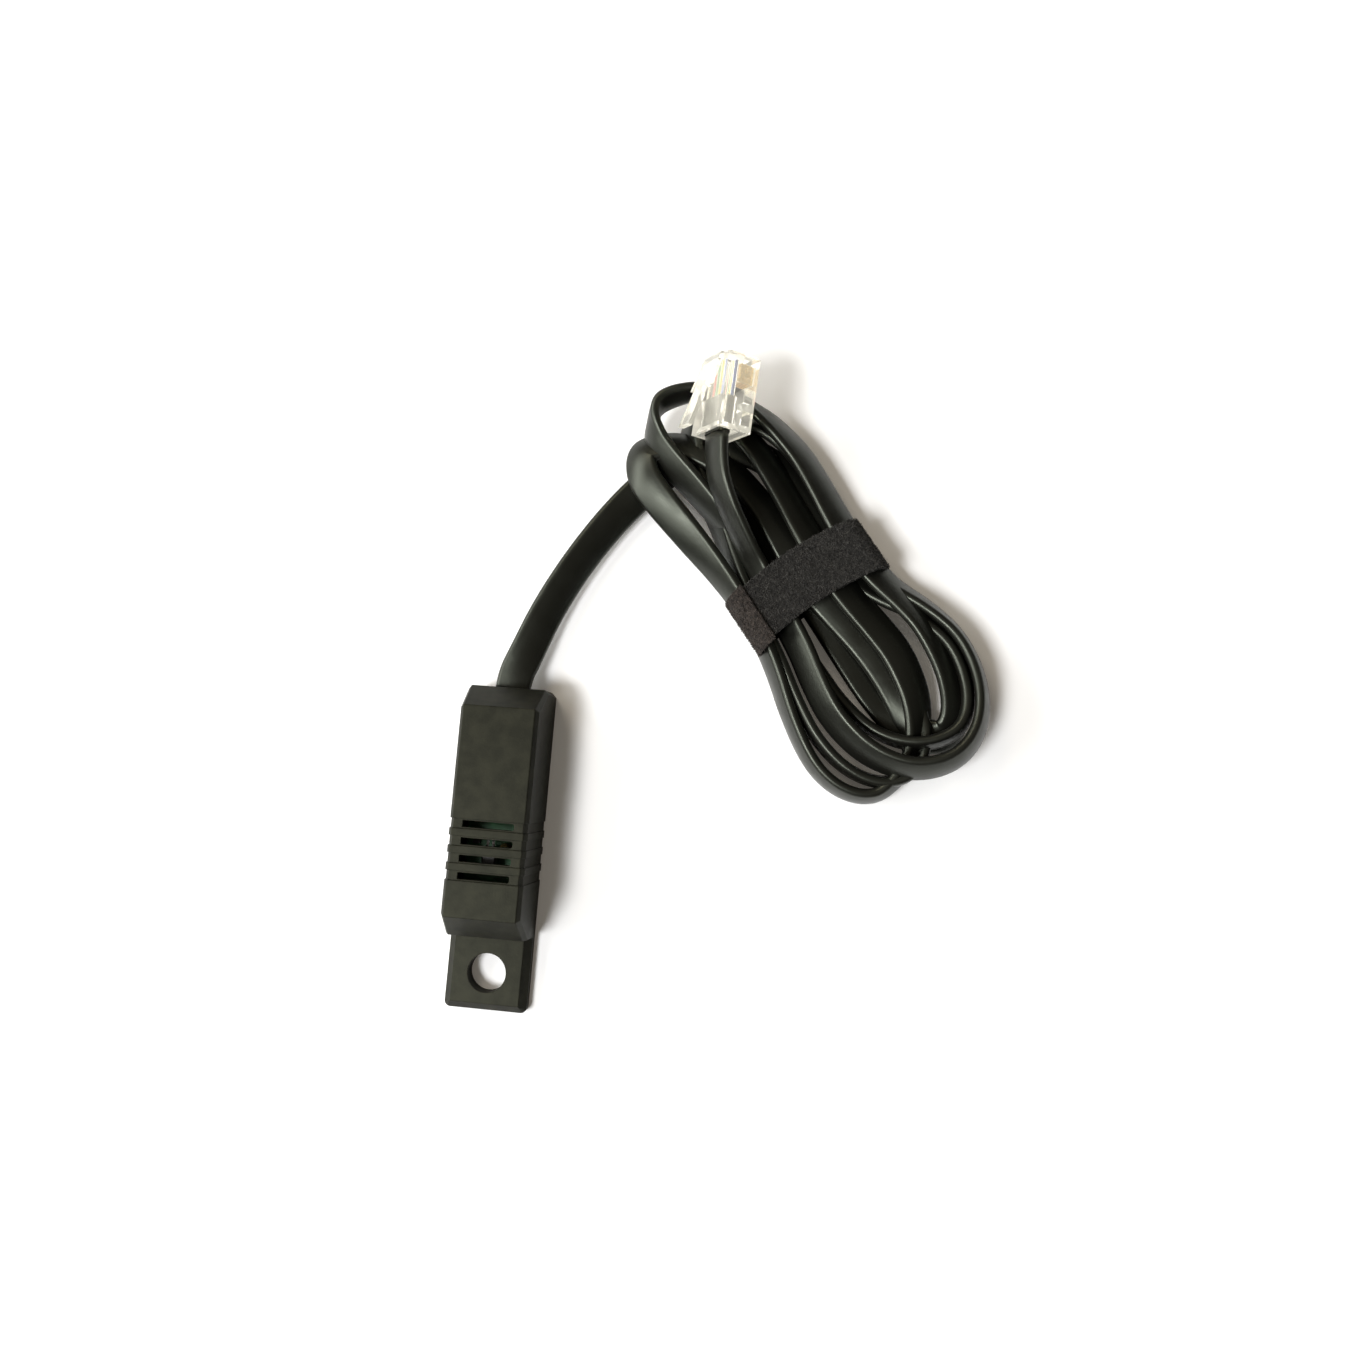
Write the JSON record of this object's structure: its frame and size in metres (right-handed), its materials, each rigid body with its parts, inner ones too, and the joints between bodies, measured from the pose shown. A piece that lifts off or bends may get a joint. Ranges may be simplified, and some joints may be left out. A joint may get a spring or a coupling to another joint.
{
  "type": "rack temperature sensor",
  "caption": "Small rack temperature sensor: a vented plastic housing with a screw tab, and a flat six-core cord wound in a tied hank, ending in a clear modular plug.",
  "frame": {"origin": "on the axis of the screw hole, at the flat back of the base", "axes": "+Y runs along the housing from the screw tab towards the cord, +Z points out of the back towards the vented cover, +X is to the right seen from the cover side with the tab nearest"},
  "size_m": [0.0946, 0.1212, 0.0187],
  "materials": {
    "housing": "moulded, fine grain",
    "board": "green solder mask",
    "resin": "dipped resin",
    "tinned_wire": "tinned",
    "chip_body": "moulded epoxy",
    "capacitor_body": "fired ceramic",
    "cord_jacket": "satin extruded jacket",
    "tie_fabric": "hook and loop tape",
    "plug_clear": "clear moulded plastic, polished",
    "contact_gold": "gold flashed",
    "core_white": "extruded insulation",
    "core_black": "extruded insulation",
    "core_red": "extruded insulation",
    "core_green": "extruded insulation",
    "core_yellow": "extruded insulation",
    "core_blue": "extruded insulation"
  },
  "bodies": {
    "root": {"housing_base": "housing", "housing_cover": "housing", "circuit_board": "board", "thermistor_bead": "resin", "thermistor_leads": "tinned_wire", "sensor_chip": "chip_body", "sensor_chip_legs": "tinned_wire", "capacitor": "capacitor_body", "resistor": "chip_body", "solder_joints": "tinned_wire", "cord_root": "cord_jacket", "cord_lead": "cord_jacket", "cord_hank": "cord_jacket", "cord_tail": "cord_jacket", "cord_tie": "tie_fabric", "plug_body": "plug_clear", "plug_jacket": "cord_jacket", "plug_contact_1": "contact_gold", "plug_contact_2": "contact_gold", "plug_contact_3": "contact_gold", "plug_contact_4": "contact_gold", "plug_contact_5": "contact_gold", "plug_contact_6": "contact_gold", "board_core_white": "core_white", "board_core_black": "core_black", "board_core_red": "core_red", "board_core_green": "core_green", "board_core_yellow": "core_yellow", "board_core_blue": "core_blue", "plug_core_white": "core_white", "plug_core_black": "core_black", "plug_core_red": "core_red", "plug_core_green": "core_green", "plug_core_yellow": "core_yellow", "plug_core_blue": "core_blue"}
  },
  "joints": []
}
